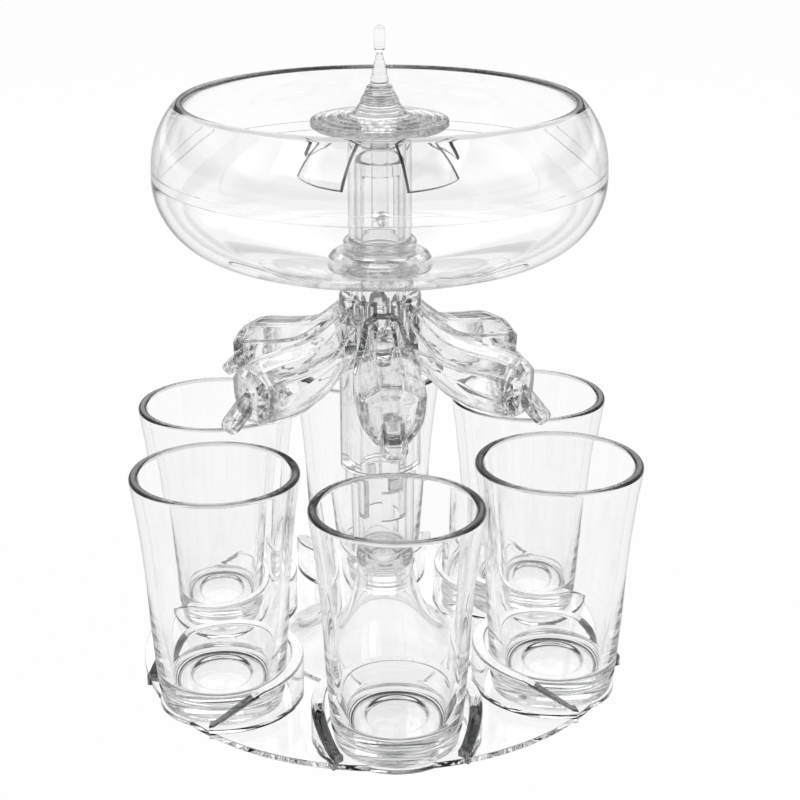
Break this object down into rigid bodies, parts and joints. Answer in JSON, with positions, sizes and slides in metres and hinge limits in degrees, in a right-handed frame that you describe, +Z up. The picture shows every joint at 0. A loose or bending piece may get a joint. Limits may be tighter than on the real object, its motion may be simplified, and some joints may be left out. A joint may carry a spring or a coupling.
{
  "type": "party shot dispenser",
  "caption": "Clear table-top dispenser: a lift valve in a bowl fills a ring of shot cups at once through petal-shaped spouts on a column above their tray.",
  "frame": {"origin": "middle of the underside of the tray, on the table", "axes": "+Z up along the column and the valve's rod; -Y towards the front cup, so cups stand every 60 degrees from -Y; +X to the right"},
  "size_m": [0.1478, 0.1632, 0.1935],
  "materials": {
    "clear_acrylic": "polished, crystal clear",
    "clear_cup": "polished, crystal clear, thick walls",
    "silicone": "soft, milky translucent"
  },
  "bodies": {
    "stand": {"base_tray": "clear_acrylic", "base_column": "clear_acrylic"},
    "head": {"hub": "clear_acrylic", "bayonet_spigot": "clear_acrylic", "spout_1": "clear_acrylic", "spout_2": "clear_acrylic", "spout_3": "clear_acrylic", "spout_4": "clear_acrylic", "spout_5": "clear_acrylic", "spout_6": "clear_acrylic", "bowl_lower": "clear_acrylic", "bowl_upper": "clear_acrylic", "bowl_gasket": "silicone", "clamp_ring": "clear_acrylic", "guide_post": "clear_acrylic"},
    "valve": {"valve_seal": "silicone", "valve_sleeve": "clear_acrylic", "petal_guard": "clear_acrylic"},
    "knob": {"knob": "clear_acrylic", "knob_flange": "clear_acrylic", "knob_rod": "clear_acrylic", "lock_pin": "clear_acrylic", "rod_clip": "clear_acrylic"},
    "cup_1": {"cup_1": "clear_cup"},
    "cup_2": {"cup_2": "clear_cup"},
    "cup_3": {"cup_3": "clear_cup"},
    "cup_4": {"cup_4": "clear_cup"},
    "cup_5": {"cup_5": "clear_cup"},
    "cup_6": {"cup_6": "clear_cup"}
  },
  "joints": [
    {"name": "head_turn", "type": "hinge", "parent": "stand", "child": "head", "pos_m": [0, 0, 0.0616], "axis": [0, 0, 1], "range_deg": [0, 53]},
    {"name": "valve_lift", "type": "slide", "parent": "head", "child": "valve", "axis": [0, 0, 1], "range_m": [0, 0.008]},
    {"name": "knob_turn", "type": "hinge", "parent": "valve", "child": "knob", "pos_m": [0, 0, 0.16], "axis": [0, 0, 1], "range_deg": [-25, 25]},
    {"name": "cup_1_lift", "type": "slide", "parent": "stand", "child": "cup_1", "axis": [0, 0, 1], "range_m": [0, 0.009]},
    {"name": "cup_2_lift", "type": "slide", "parent": "stand", "child": "cup_2", "axis": [0, 0, 1], "range_m": [0, 0.009]},
    {"name": "cup_3_lift", "type": "slide", "parent": "stand", "child": "cup_3", "axis": [0, 0, 1], "range_m": [0, 0.009]},
    {"name": "cup_4_lift", "type": "slide", "parent": "stand", "child": "cup_4", "axis": [0, 0, 1], "range_m": [0, 0.009]},
    {"name": "cup_5_lift", "type": "slide", "parent": "stand", "child": "cup_5", "axis": [0, 0, 1], "range_m": [0, 0.009]},
    {"name": "cup_6_lift", "type": "slide", "parent": "stand", "child": "cup_6", "axis": [0, 0, 1], "range_m": [0, 0.009]}
  ]
}
